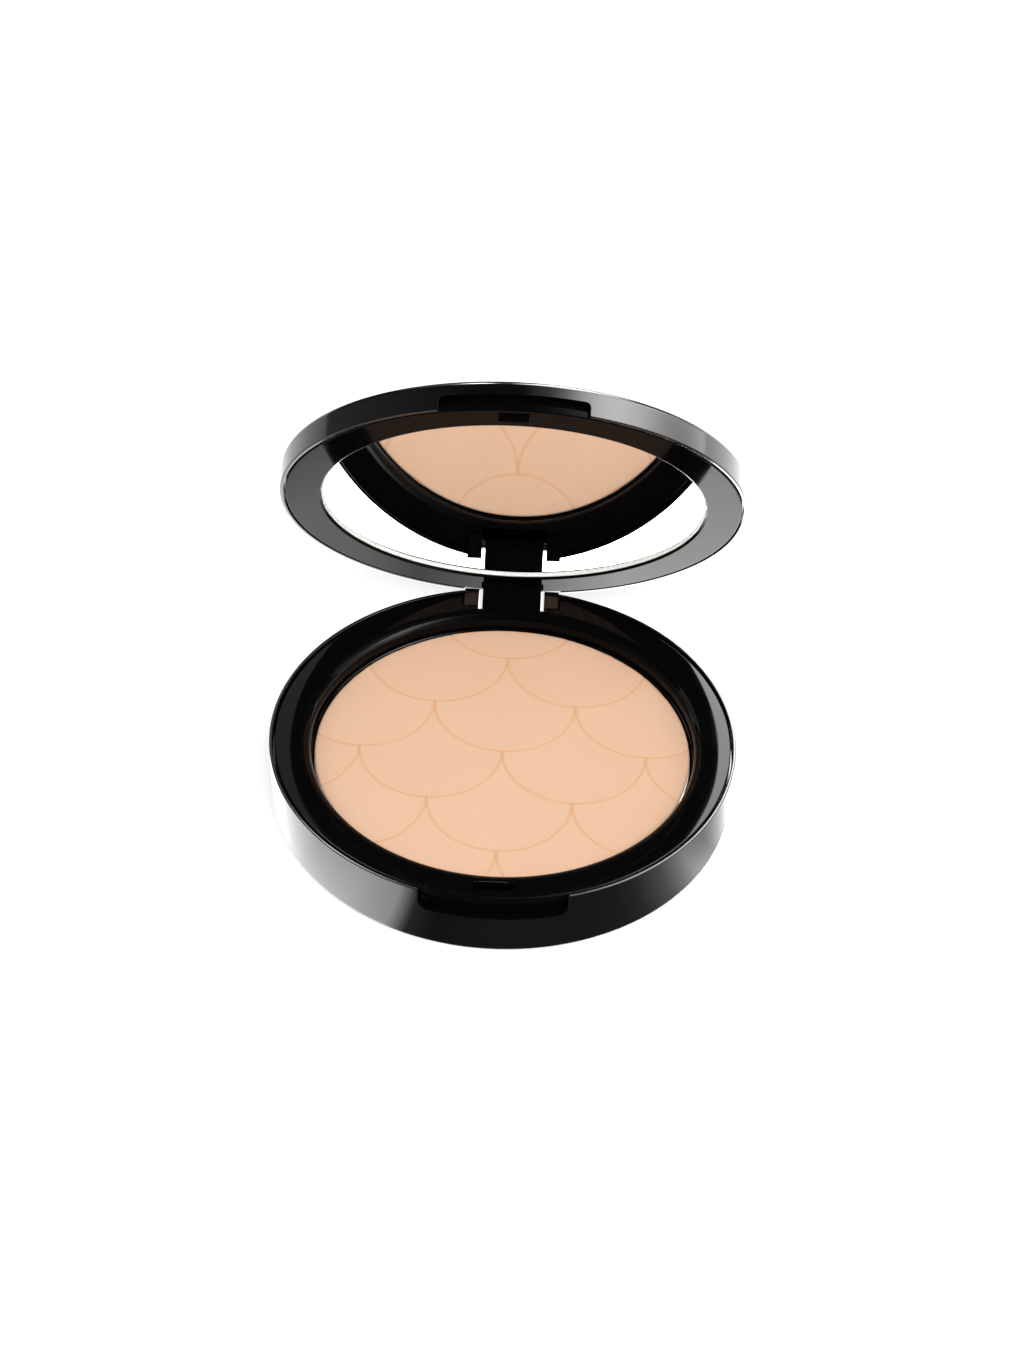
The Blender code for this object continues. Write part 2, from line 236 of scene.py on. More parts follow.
def new_material(name, colour, roughness, metallic=0.0):
    material = bpy.data.materials.new(name)
    material.use_nodes = True
    shader = material.node_tree.nodes["Principled BSDF"]
    shader.inputs["Base Color"].default_value = (*colour, 1.0)
    shader.inputs["Roughness"].default_value = roughness
    shader.inputs["Metallic"].default_value = metallic
    return material


class Nodes:
    """Short calls for building one node tree."""

    def __init__(self, owner, clear=False):
        self.tree = owner.node_tree
        if clear:
            self.tree.nodes.clear()
        self.shader = self.tree.nodes.get("Principled BSDF")

    def add(self, kind, **settings):
        node = self.tree.nodes.new(kind)
        for name, value in settings.items():
            setattr(node, name, value)
        return node

    def link(self, source, target):
        self.tree.links.new(source, target)

    def place(self, scale=(1.0, 1.0, 1.0)):
        coordinates = self.add("ShaderNodeTexCoord")
        mapping = self.add("ShaderNodeMapping")
        mapping.inputs["Scale"].default_value = scale
        self.link(coordinates.outputs["Object"], mapping.inputs["Vector"])
        return mapping.outputs["Vector"]

    def noise(self, scale, detail=3.0, roughness=0.5, stretch=(1.0, 1.0, 1.0)):
        node = self.add("ShaderNodeTexNoise")
        node.inputs["Scale"].default_value = scale
        node.inputs["Detail"].default_value = detail
        node.inputs["Roughness"].default_value = roughness
        self.link(self.place(stretch), node.inputs["Vector"])
        return node.outputs["Fac"]

    def speckle(self, scale):
        node = self.add("ShaderNodeTexVoronoi")
        node.inputs["Scale"].default_value = scale
        self.link(self.place(), node.inputs["Vector"])
        return node

    def spread(self, source, low, high, from_low=0.3, from_high=0.7):
        node = self.add("ShaderNodeMapRange")
        node.inputs["From Min"].default_value = from_low
        node.inputs["From Max"].default_value = from_high
        node.inputs["To Min"].default_value = low
        node.inputs["To Max"].default_value = high
        self.link(source, node.inputs["Value"])
        return node.outputs["Result"]

    def mixed(self, amount, first, second):
        node = self.add("ShaderNodeMix", data_type="RGBA")
        self.link(amount, node.inputs["Factor"])
        for socket, colour in ((node.inputs["A"], first), (node.inputs["B"], second)):
            if isinstance(colour, tuple):
                socket.default_value = (*colour, 1.0)
            else:
                self.link(colour, socket)
        return node.outputs["Result"]

    def bump(self, height, depth_mm, strength=1.0, onto=None):
        node = self.add("ShaderNodeBump")
        node.inputs["Distance"].default_value = depth_mm * MM
        node.inputs["Strength"].default_value = strength
        self.link(height, node.inputs["Height"])
        if onto is not None:
            self.link(onto, node.inputs["Normal"])
        return node.outputs["Normal"]

    def levels(self, position, stops, peak):
        """A ramp of greys over position's run from 0 to 1; stops are (place, level), and
        the levels come out as shares of the peak."""
        ramp = self.add("ShaderNodeValToRGB")
        self.link(position, ramp.inputs["Fac"])
        elements = ramp.color_ramp.elements
        low = stops[0][0]
        span = stops[-1][0] - low
        while len(elements) < len(stops):
            elements.new(0.5)
        for element, (place, level) in zip(elements, stops):
            element.position = (place - low) / span
            element.color = (*[level / peak] * 3, 1.0)
        return ramp.outputs["Color"]

    def value(self, name):
        return self.add("ShaderNodeAttribute", attribute_name=name).outputs["Fac"]

    def set(self, socket, source):
        self.link(source, self.shader.inputs[socket])


def black_plastic(name, low, high, scratch, ripple_mm, gloss):
    """Moulded black plastic: soft roughness patches, hairline scratches, faint ripple."""
    material = new_material(name, (0.0016, 0.0016, 0.0018), low)
    n = Nodes(material)
    n.shader.inputs["Specular IOR Level"].default_value = gloss
    patches = n.noise(140.0, 4.0)
    hairs = n.noise(900.0, 2.0, 0.6, (1.0, 0.04, 1.0))
    rough = n.spread(patches, low, high)
    lines = n.spread(hairs, 0.0, scratch, 0.62, 0.75)
    total = n.add("ShaderNodeMath", operation="ADD")
    n.link(rough, total.inputs[0])
    n.link(lines, total.inputs[1])
    n.set("Roughness", total.outputs["Value"])
    ripple = n.bump(n.noise(220.0, 1.0), ripple_mm)
    n.set("Normal", n.bump(hairs, 0.0004, 0.3, ripple))
    return material


def powder_material():
    """Pressed powder: fine grain, faint fleck and mottle, with painted shade that darkens
    the grooves of the lines and tints the scales row by row.
    """
    material = new_material("pressed_powder", POWDER_COLOUR, 0.95)
    n = Nodes(material)
    mottle = n.spread(n.noise(60.0, 5.0, 0.6), 0.0, 1.0)
    body = n.mixed(mottle, POWDER_PALE, POWDER_COLOUR)
    # painted shade: each scale gets its row's tint
    slope_shaded = n.mixed(n.value("slope_shade"), body, POWDER_SLOPE_SHADE)
    grain = n.spread(n.noise(5200.0, 3.0, 0.7), 0.0, 0.25)
    grained = n.mixed(grain, slope_shaded, POWDER_DEEP)
    # painted shade: the pressed lines' grooves are darkened toward the groove colour
    groove_shaded = n.mixed(n.spread(n.value("groove_shade"), 0.0, 0.8, 0.0, 1.0), grained, POWDER_GROOVE_SHADE)
    n.set("Base Color", groove_shaded)
    n.set("Roughness", n.spread(n.noise(900.0), 0.86, 1.0))
    n.shader.inputs["Specular IOR Level"].default_value = 0.12
    coarse = n.bump(n.noise(1500.0, 4.0, 0.65), 0.012, 0.6)
    n.set("Normal", n.bump(n.noise(6500.0, 2.0), 0.008, 0.5, coarse))
    return material


def pan_material():
    """Drawn aluminium, brushed round the pan."""
    material = new_material("pan_aluminium", (0.8, 0.8, 0.81), 0.32, 1.0)
    n = Nodes(material)
    brush = n.noise(700.0, 3.0, 0.6, (1.0, 1.0, 12.0))
    n.set("Roughness", n.spread(brush, 0.24, 0.42))
    n.set("Base Color", n.mixed(n.noise(90.0, 4.0), (0.82, 0.82, 0.83), (0.74, 0.73, 0.72)))
    n.set("Normal", n.bump(brush, 0.004, 0.4))
    return material


def pin_material():
    """Drawn steel wire, brushed along its length."""
    material = new_material("pin_steel", (0.62, 0.62, 0.63), 0.3, 1.0)
    n = Nodes(material)
    brush = n.noise(2500.0, 2.0, 0.6, (0.03, 1.0, 1.0))
    n.set("Roughness", n.spread(brush, 0.2, 0.38))
    n.set("Base Color", n.mixed(n.noise(300.0, 3.0), (0.66, 0.66, 0.67), (0.52, 0.51, 0.5)))
    n.set("Normal", n.bump(brush, 0.003, 0.5))
    return material


def mirror_material():
    """Silvered glass, clean but for a trace of haze."""
    material = new_material("mirror", (0.93, 0.94, 0.935), 0.0, 1.0)
    n = Nodes(material)
    n.set("Roughness", n.spread(n.noise(45.0, 5.0, 0.6), 0.0, 0.012, 0.5, 0.8))
    return material


def ground_glass_material():
    """The mirror's ground edge: pale and frosted."""
    material = new_material("ground_glass", (0.8, 0.82, 0.79), 0.5)
    n = Nodes(material)
    frost = n.noise(2500.0, 3.0, 0.7)
    n.set("Base Color", n.mixed(
        n.spread(frost, 0.0, 1.0), (0.84, 0.86, 0.83), (0.7, 0.73, 0.7)))
    n.set("Roughness", n.spread(frost, 0.4, 0.6))
    n.set("Normal", n.bump(frost, 0.005, 0.5))
    return material


def paper_material():
    """Blank label paper with fine fibres."""
    material = new_material("label_paper", (0.86, 0.86, 0.84), 0.75)
    n = Nodes(material)
    fibres = n.noise(1800.0, 4.0, 0.7, (1.0, 0.25, 1.0))
    n.set("Base Color", n.mixed(
        n.spread(fibres, 0.0, 1.0), (0.88, 0.88, 0.86), (0.8, 0.79, 0.76)))
    n.set("Roughness", n.spread(fibres, 0.68, 0.85))
    n.set("Normal", n.bump(fibres, 0.008, 0.5))
    return material


def adhesive_material():
    """Double-sided tape: milky, with faint bubbles."""
    material = new_material("adhesive", (0.75, 0.72, 0.62), 0.5)
    n = Nodes(material)
    bubbles = n.speckle(700.0).outputs["Distance"]
    n.set("Base Color", n.mixed(
        n.spread(bubbles, 0.0, 1.0), (0.78, 0.75, 0.66), (0.7, 0.66, 0.55)))
    n.set("Roughness", n.spread(n.noise(400.0), 0.4, 0.62))
    n.set("Normal", n.bump(bubbles, 0.01, 0.4))
    return material


POWDER_COLOUR = (0.66, 0.425, 0.288)
POWDER_PALE = (0.675, 0.445, 0.308)
# painted shade: the colour that the scales are tinted toward, in place of their slopes'
# shading
POWDER_SLOPE_SHADE = (0.65, 0.4, 0.26)
POWDER_DEEP = (0.585, 0.355, 0.232)
# painted shade: the colour that the grooves of the pressed lines are darkened toward
POWDER_GROOVE_SHADE = (0.585, 0.31, 0.145)

SHELL_BLACK = black_plastic("gloss_black_shell", 0.08, 0.13, 0.04, 0.0012, 0.3)
INNER_BLACK = black_plastic("gloss_black_inner", 0.04, 0.07, 0.02, 0.0005, 0.06)
FRAME_BLACK = black_plastic("gloss_black_frame", 0.04, 0.07, 0.02, 0.0005, 0.02)


# ---------------------------------------------------------------- the base

FOOT_RADIUS = 38.4
LIP_INNER = 38.4
NOTCH_HALF = 5.7
NOTCH_FRONT = 33.35
BLOCK_HALF = 8.2
BLOCK_REAR = 38.75
THUMB_HALF = 12.0
THUMB_ROUND = 1.6
THUMB_INNER = 37.35
THUMB_DEPTH_BASE = 4.2
THUMB_DEPTH_LID = 2.4
DECK_TOP = 11.6
DECK_TOP_MIDDLE = 11.57  # the top falls a little outward
DECK_TOP_OUTER = 11.52
DECK_PLAY = 0.3  # room on each side of the hinge block
CUT_REAR = 45.0  # cuts run on past the outside of the compact, to these three
CUT_BOTTOM = -5.0
CUT_TOP = 20.0
PIN_RADIUS = 0.8
PIN_HALF = 7.8
BORE_RADIUS = 1.1


def thumb_cutter(z_low, z_high, round_low, round_high):
    """A rounded slot through the front wall, down to the part behind it."""
    outline = rounded([
        (-THUMB_HALF, z_low, round_low), (THUMB_HALF, z_low, round_low),
        (THUMB_HALF, z_high, round_high), (-THUMB_HALF, z_high, round_high)], True, 8)
    slot = prism("thumb", outline, "Y", -45.0, -27.0)
    core = spun("thumb_core", [
        (0.0, -50.0), (THUMB_INNER, -50.0), (THUMB_INNER, 50.0), (0.0, 50.0)],
        False, columns())
    combine(slot, core, "DIFFERENCE")
    return slot


def make_casing():
    """The outer casing: wall, floor with its ribs, hinge block and thumb notch."""
    outline = rounded([
        (0.0, 1.6, 0), (20.0, 1.6, 0.2), (20.0, 3.0, 0.2), (21.2, 3.0, 0.2),
        (21.2, 1.6, 0.2),
        (28.4, 1.6, 0.2), (28.4, 3.0, 0.2), (29.6, 3.0, 0.2), (29.6, 1.6, 0.2),
        (31.8, 1.6, 0.2), (31.8, 8.4, 0.2), (32.9, 8.4, 0.2), (32.9, 1.6, 0.2),
        (37.4, 1.6, 0.3), (37.4, 10.2, 0.1), (LIP_INNER, 10.2, 0.1),
        (LIP_INNER, RIM_Z, 0.12), (RIM_RADIUS, RIM_Z, 0.2), (FOOT_RADIUS, 0.0, 1.0),
        (16.3, 0.0, 0.15), (16.3, 0.5, 0.1), (0.0, 0.5, 0)], False)
    angles = columns(stops_for(THUMB_HALF, BLOCK_HALF, NOTCH_HALF))
    casing = spun("base_casing_shell", outline, False, angles)
    ears, notch = (-BLOCK_HALF, BLOCK_HALF), (-NOTCH_HALF, NOTCH_HALF)
    through = (CUT_BOTTOM, CUT_TOP)
    for name, sides, depth, heights, operation in (
            ("lower", ears, (31.9, BLOCK_REAR), (1.0, 8.4), "UNION"),
            ("upper", ears, (34.25, BLOCK_REAR), (7.4, DECK_TOP), "UNION"),
            ("rear", ears, (BLOCK_REAR, CUT_REAR), through, "DIFFERENCE"),
            ("ear_top", ears, (38.0, CUT_REAR), (DECK_TOP, CUT_TOP), "DIFFERENCE"),
            ("notch", notch, (NOTCH_FRONT, CUT_REAR), through, "DIFFERENCE")):
        combine(casing, block(name, sides, depth, heights), operation)
    combine(casing, rod("bore", BORE_RADIUS, 12.0, AXIS.y, AXIS.z), "DIFFERENCE")
    thumb = thumb_cutter(RIM_Z - THUMB_DEPTH_BASE, CUT_TOP, THUMB_ROUND, 0.2)
    combine(casing, thumb, "DIFFERENCE")
    soften(casing)
    seat(casing, "base", SHELL_BLACK, "base_casing")


def make_deck():
    """The glossy ring round the powder, with its rolled inner edge and hidden skirts."""
    outline = rounded([
        (35.6, DECK_TOP, 0), (36.9, DECK_TOP_MIDDLE, 0), (38.1, DECK_TOP_OUTER, 0.25),
        (38.1, 10.5, 0.1), (37.1, 10.5, 0.1), (37.1, 6.8, 0.15),
        (36.2, 6.8, 0.15), (36.2, 10.5, 0.1), (33.6, 10.5, 0.1), (33.6, 8.7, 0.15),
        (32.0, 8.7, 0.2), (32.0, DECK_TOP, 1.9)], True, 9)
    angles = columns(stops_for(BLOCK_HALF + DECK_PLAY, NOTCH_HALF))
    deck = spun("base_deck_ring", outline, True, angles)
    side = BLOCK_HALF + DECK_PLAY
    for name, half, front in (
            ("block_room", side, 33.95), ("notch", NOTCH_HALF, NOTCH_FRONT)):
        cutter = block(name, (-half, half), (front, CUT_REAR), (0.0, CUT_TOP))
        combine(deck, cutter, "DIFFERENCE")
    slot = rounded([
        (-3.2, -36.2, 0.3), (3.2, -36.2, 0.3), (3.2, -34.4, 0.3), (-3.2, -34.4, 0.3)], True)
    combine(deck, prism("latch_slot", slot, "Z", 0.0, CUT_TOP), "DIFFERENCE")
    soften(deck)
    seat(deck, "base", INNER_BLACK, "base_deck")


def make_pan():
    """The thin pan, with the rounded edge of its drawn wall."""
    outline = rounded([
        (0.0, 4.1, 0), (31.2, 4.1, 0.4), (31.2, 8.2, 0.12), (31.5, 8.2, 0.12),
        (31.5, 3.8, 0.6), (0.0, 3.8, 0)], False)
    pan = spun("powder_pan_shell", outline, False, columns())
    smooth(pan)
    seat(pan, "base", pan_material(), "powder_pan")


# The pressed design: equal discs in staggered rows like fish scales, nearest row lowest
SCALE_RADIUS = 12.0
SCALE_ROWS = 7
SCALE_COLUMNS = 5
SCALE_AMOUNT = 0.8
SCALE_MARGIN = 1.5  # a disc's groove is gone this far outside its edge
# painted shade: alternate rows of scales are tinted lighter and darker, standing in for the
# shading of their slopes
SCALE_SLOPE_SHADES = (0.15, 0.3)
STEP_WIDTH = 0.5
LIP_HEIGHT = 0.1
LIP_REACH = 4.0
GROOVE_DEPTH = 0.08
GROOVE_WIDTH = 0.24


def scale_centres():
    """Centres and painted shade levels of the discs that reach the cake, lowest first."""
    discs = []
    for row in range(SCALE_ROWS):
        y = (row - SCALE_ROWS // 2) * SCALE_RADIUS
        for column in range(SCALE_COLUMNS):
            x = (2 * (column - SCALE_COLUMNS // 2) + row % 2) * SCALE_RADIUS
            if hypot(x, y) < POWDER_RADIUS + SCALE_RADIUS:
                discs.append((x, y, SCALE_SLOPE_SHADES[row % 2]))
    return discs


def pressed_relief(x, y, discs):
    """Height of the pressed design at a point, in millimetres, with its shares of painted
    slope shade and painted groove shade.
    """
    height, slope_shade, groove_shade = 0.0, 0.4, 0.0
    for cx, cy, shade in discs:
        inside = SCALE_RADIUS - hypot(x - cx, y - cy)
        if inside < -SCALE_MARGIN:
            continue
        cover = min(1.0, max(0.0, inside / STEP_WIDTH + 0.5))
        cover = cover * cover * (3 - 2 * cover)
        lip = SCALE_AMOUNT * LIP_HEIGHT * exp(-max(0.0, inside) / LIP_REACH)
        groove = exp(-(inside / GROOVE_WIDTH) ** 2) * SCALE_AMOUNT
        height += (lip - height) * cover - groove * GROOVE_DEPTH
        # painted shade: the covering disc's shade level replaces the one beneath
        slope_shade += (shade - slope_shade) * cover
        # painted shade: the groove along each disc's edge is marked for darkening
        groove_shade = groove_shade * (1 - cover) + groove
    return height, slope_shade, min(1.0, groove_shade)


def make_powder():
    """The pressed cake: a fine round grid whose top carries the relief."""
    cells = 400
    discs = scale_centres()
    bm = bmesh.new()
    # painted shade: the vertices carry the shares of painted slope shade and painted groove
    # shade
    slope_shade_layer = bm.verts.layers.float.new("slope_shade")
    groove_shade_layer = bm.verts.layers.float.new("groove_shade")
    grid = []
    for row in range(cells + 1):
        v = 2.0 * row / cells - 1.0
        line_of = []
        for column in range(cells + 1):
            u = 2.0 * column / cells - 1.0
            x, y = disc_point(u, v)
            x, y = x * POWDER_RADIUS, y * POWDER_RADIUS
            share = hypot(x, y) / POWDER_RADIUS
            height, slope_shade, groove_shade = pressed_relief(x, y, discs)
            roll = max(0.0, share - POWDER_ROLL_START) / POWDER_ROLL_WIDTH
            z = (POWDER_EDGE_Z + POWDER_CROWN * (1 - share * share) + height
                 - POWDER_ROLL_DROP * roll * roll)
            vert = bm.verts.new((x * MM, y * MM, z * MM))
            vert[slope_shade_layer] = slope_shade
            vert[groove_shade_layer] = groove_shade
            line_of.append(vert)
        grid.append(line_of)
    for low, high in zip(grid, grid[1:]):
        for index in range(cells):
            bm.faces.new((low[index], low[index + 1], high[index + 1], high[index]))
    edge = (grid[0] + [row[-1] for row in grid[1:]] + grid[-1][-2::-1]
            + [row[0] for row in grid[-2:0:-1]])
    count = len(edge)
    above = edge
    for radius, z in ((POWDER_RADIUS, PAN_TOP + 0.03), (PAN_INNER - 0.3, PAN_TOP + 0.03),
                      (PAN_INNER - 0.3, POWDER_BOTTOM)):
        share = radius / POWDER_RADIUS
        below = [bm.verts.new((v.co.x * share, v.co.y * share, z * MM)) for v in edge]
        for index in range(count):
            after = (index + 1) % count
            bm.faces.new((above[after], above[index], below[index], below[after]))
        above = below
    bm.faces.new(above)
    powder = finished_mesh("pressed_powder_cake", bm)
    powder.data.shade_smooth()
    powder.data.set_sharp_from_angle(angle=radians(60))
    seat(powder, "base", powder_material(), "pressed_powder")


def disc_point(u, v):
    """Maps a square onto a disc with nearly even cells."""
    if u == 0.0 and v == 0.0:
        return 0.0, 0.0
    if abs(u) > abs(v):
        radius, angle = u, pi / 4 * v / u
    else:
        radius, angle = v, pi / 2 - pi / 4 * u / v
    return radius * cos(angle), radius * sin(angle)


def make_label():
    """The blank label on the underside."""
    outline = rounded([
        (0.0, 0.2, 0), (15.9, 0.2, 0.05), (15.9, 0.0, 0.08), (0.0, 0.0, 0)], False)
    label = spun("shade_label_disc", outline, False, columns())
    smooth(label)
    seat(label, "base", paper_material(), "shade_label")


def make_pin():
    """The steel pin, with chamfered ends and fine splines that grip the ears."""
    sides = 96
    stations = [
        (-PIN_HALF, 0.5), (-PIN_HALF + 0.25, 0.76), (-PIN_HALF + 0.5, 1.0), (-5.9, 1.0),
        (-5.7, 0.0), (5.7, 0.0), (5.9, 1.0), (PIN_HALF - 0.5, 1.0),
        (PIN_HALF - 0.25, 0.76), (PIN_HALF, 0.5)]
    bm = bmesh.new()
    rings = []
    for x, ribbed in stations:
        ring = []
        for side in range(sides):
            angle = 2 * pi * side / sides
            splines = 0.02 * cos(24 * angle) if ribbed == 1.0 else 0.0
            chamfer = 0.25 * (1.0 - ribbed) if 0.0 < ribbed < 1.0 else 0.0
            radius = PIN_RADIUS - 0.02 + splines - chamfer
            ring.append(bm.verts.new(Vector((
                x, AXIS.y + radius * cos(angle), AXIS.z + radius * sin(angle))) * MM))
        rings.append(ring)
    for low, high in zip(rings, rings[1:]):
        for index in range(sides):
            after = (index + 1) % sides
            bm.faces.new((low[index], low[after], high[after], high[index]))
    bm.faces.new(rings[0])
    bm.faces.new(rings[-1])
    pin = finished_mesh("hinge_pin_splined", bm)
    pin.data.shade_smooth()
    pin.data.set_sharp_from_angle(angle=SHARP)
    seat(pin, "base", pin_material(), "hinge_pin")


# ---------------------------------------------------------------- the lid

LID_HEIGHT = 4.9
LID_CROWN = 0.3
TONGUE_HALF = 5.15
KNUCKLE = 2.5
TONGUE_REAR = 1.6
HEEL_DROP = 3.0


def make_lid_shell():
    """The lid's outer shell: crowned top, round shoulder, tongue and thumb notch."""
    crown = [(r, LID_HEIGHT + LID_CROWN * (1 - (r / RIM_RADIUS) ** 2), 0)
             for r in [k * 3.0 for k in range(13)]]
    outline = rounded(crown + [
        (RIM_RADIUS, LID_HEIGHT, 1.0), (RIM_RADIUS, 0.0, 0.2), (LIP_INNER, 0.0, 0.12),
        (LIP_INNER, 1.5, 0.1), (37.6, 1.5, 0.1), (37.6, 3.2, 0.3), (0.0, 3.2, 0)], False, 8)
    angles = columns(stops_for(THUMB_HALF, BLOCK_HALF + DECK_PLAY, TONGUE_HALF))
    shell = spun("lid_shell_cover", outline, False, angles)
    side = BLOCK_HALF + DECK_PLAY
    ear_room = block("ear_room", (-side, side), (37.4, CUT_REAR), (CUT_BOTTOM, 0.3))
    combine(shell, ear_room, "DIFFERENCE")
    combine(shell, thumb_cutter(-6.0, THUMB_DEPTH_LID, 0.2, 0.8), "DIFFERENCE")
    down = AXIS.z - LID_RIM_Z
    back = AXIS.y
    tongue = rounded([
        (back - KNUCKLE, 3.9, 0), (back - KNUCKLE, down - KNUCKLE, KNUCKLE - 0.02),
        (back, down - KNUCKLE, 0), (back, down - HEEL_DROP, 0.2),
        (back + TONGUE_REAR, down - HEEL_DROP, 0.6),
        (back + TONGUE_REAR, 3.9, 0)], True, 10)
    combine(shell, prism("tongue", tongue, "X", -TONGUE_HALF, TONGUE_HALF), "UNION")
    combine(shell, rod("bore", BORE_RADIUS, 10.0, AXIS.y, down), "DIFFERENCE")
    soften(shell)
    seat(shell, "lid", SHELL_BLACK, "lid_shell")


def make_frame():
    """The ring that holds the mirror, with the latch hook at the front."""
    outline = rounded([
        (37.3, 2.9, 0.15), (37.3, 1.2, 0.1), (38.1, 1.2, 0.1), (38.1, 0.0, 0.25),
        (32.2, 0.0, 0.25), (32.2, 0.5, 0.1), (33.9, 0.5, 0.1), (33.9, 1.2, 0.1),
        (36.3, 1.2, 0.1), (36.3, 2.9, 0.15)], True)
    side = TONGUE_HALF + 0.3
    ring = spun("mirror_frame_ring", outline, True, columns(stops_for(side, 2.5)))
    tongue_room = block("tongue_room", (-side, side), (34.2, CUT_REAR), (CUT_BOTTOM, 10.0))
    combine(ring, tongue_room, "DIFFERENCE")
    hook = rounded([
        (-35.8, 0.6, 0), (-35.8, -0.8, 0.3), (-34.9, -0.8, 0.15), (-34.9, 0.6, 0)], True)
    combine(ring, prism("hook", hook, "X", -2.5, 2.5), "UNION")
    soften(ring)
    seat(ring, "lid", FRAME_BLACK, "mirror_frame")


def make_mirror():
    """The mirror, with the small ground edge of cut glass."""
    outline = rounded([
        (0.0, 2.4, 0), (33.6, 2.4, 0.2), (33.6, 0.8, 0.1), (32.15, 0.8, 0),
        (32.15, 0.42, 0.1),
        (31.85, 0.42, 0.1), (31.8, 0.8, 0), (0.0, 0.8, 0)], False)
    glass = spun("mirror_disc", outline, False, columns())
    smooth(glass, radians(20))
    seat(glass, "lid", mirror_material(), "mirror_glass")
    glass.data.materials.append(ground_glass_material())
    for face in glass.data.polygons:
        local = LID_MATRIX.inverted() @ face.center / MM
        away = hypot(local.x, local.y)
        if 31.7 < away < 32.3 and local.z < 0.79:
            face.material_index = 1


def dress_hidden_pieces():
    """The two pieces of tape keep their CAD shapes and get their material."""
    material = adhesive_material()
    for name in ("pan_adhesive", "mirror_adhesive"):
        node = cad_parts[name]
        node.data.materials.clear()
        node.data.materials.append(material)


# ---------------------------------------------------------------- studio

AMBIENT = 0.42  # even light from the world, which the camera sees as white

ROOM_RADIUS = 8.0
ROOM_PEAK = 20.0
# (place to the right as a share of the radius, glow)
ROOM_ACROSS = (
    (-1.0, 0.4), (-0.6, 0.2), (-0.3, 0.05), (0.05, 0.05), (0.25, 1.5), (0.35, 4.0),
    (0.5, 13.0), (0.6, 18.0), (0.7, 19.0), (0.81, 14.0), (0.92, 4.0), (1.0, 3.0),
)
# (place to the back as a share of the radius, share of the glow)
ROOM_ALONG = (
    (-1.0, 0.05), (-0.6, 0.1), (-0.35, 1.0), (0.45, 1.0), (0.6, 0.01), (1.0, 0.01),
)

CARD_Z = -0.0006  # under the floor, so that it only shows in reflections
CARD_PEAK = 12.5
# (metres from the middle, share of the glow): dark under the compact, weaker far from it
CARD_FADE = (
    (0.0, 0.0), (0.0375, 0.0), (0.039, 1.0), (0.065, 1.0), (0.095, 0.33), (0.12, 0.33),
)
# (degrees round from the front, glow)
CARD_LEVELS = (
    (-180, 4.5), (-158, 2.2), (-145, 4.4), (-130, 5.0), (-118, 3.6), (-95, 3.2), (-75, 3.4),
    (-58, 3.8), (-50, 4.7), (-40, 5.8), (-28, 5.4), (-23, 0.4), (-16, 0.1), (0, 0.18),
    (28, 0.16), (36, 0.18), (42, 0.27), (52, 0.78), (62, 1.9), (72, 1.0), (82, 1.6),
    (95, 3.0), (115, 11.0), (155, 12.5), (180, 4.5),
)

CAMERA_ANGLES = (1.05, 41.06, 1.92)  # degrees of turn, tilt and roll
CAMERA_PLACE = (8.563, -419.355, 378.03)  # millimetres from the middle of the base's rim
CAMERA_LENS = 89.51


def glowing_material(name, peak, share=None):
    """Emission of peak; share(n), if given, is the output that says how much of it."""
    material = bpy.data.materials.new(name)
    material.use_nodes = True
    n = Nodes(material, clear=True)
    glow = n.add("ShaderNodeEmission")
    glow.inputs["Strength"].default_value = peak
    if share:
        n.link(share(n), glow.inputs["Color"])
    output = n.add("ShaderNodeOutputMaterial")
    n.link(glow.outputs["Emission"], output.inputs["Surface"])
    return material


def area_light(name, place, target, size, radiance):
    """A rectangular softbox at place, facing target, with its brightness per area."""
    width, height = size
    light = bpy.data.lights.new(name, "AREA")
    light.shape = "RECTANGLE"
    light.size, light.size_y = width, height
    light.energy = radiance * pi * width * height
    obj = bpy.data.objects.new(name, light)
    bpy.context.scene.collection.objects.link(obj)
    obj.location = place
    facing = (Vector(target) - Vector(place)).to_track_quat("-Z", "Y")
    obj.rotation_euler = facing.to_euler()
    obj.visible_camera = False
    obj.visible_glossy = False


def only_reflected(card):
    """A card that glossy surfaces see, and that neither lights nor shades anything else."""
    card.visible_camera = False
    card.visible_diffuse = False
    card.visible_shadow = False


def reflected_card(name, place, target, size, radiance):
    """A bright rectangle at place, facing target, for the gloss to reflect."""
    facing = (Vector(target) - Vector(place)).to_track_quat("-Z", "Y").to_matrix().to_4x4()
    bm = bmesh.new()
    bmesh.ops.create_grid(bm, x_segments=1, y_segments=1, size=0.5,
                          matrix=Matrix.Diagonal((*size, 1.0, 1.0)))
    card = finished_mesh(name, bm)
    card.matrix_world = Matrix.Translation(place) @ facing
    card.data.materials.append(glowing_material(name, radiance))
    only_reflected(card)


def make_floor():
    """A seamless white floor; its own faint glow softens the shadow."""
    bm = bmesh.new()
    bmesh.ops.create_circle(bm, cap_ends=True, segments=96, radius=6.0)
    floor = finished_mesh("floor", bm)
    material = new_material("floor_white", (0.8, 0.8, 0.8), 0.9)
    shader = material.node_tree.nodes["Principled BSDF"]
    shader.inputs["Specular IOR Level"].default_value = 0.1
    shader.inputs["Emission Color"].default_value = (1.0, 1.0, 1.0, 1.0)
    shader.inputs["Emission Strength"].default_value = 0.35
    floor.data.materials.append(material)
    floor.visible_glossy = False


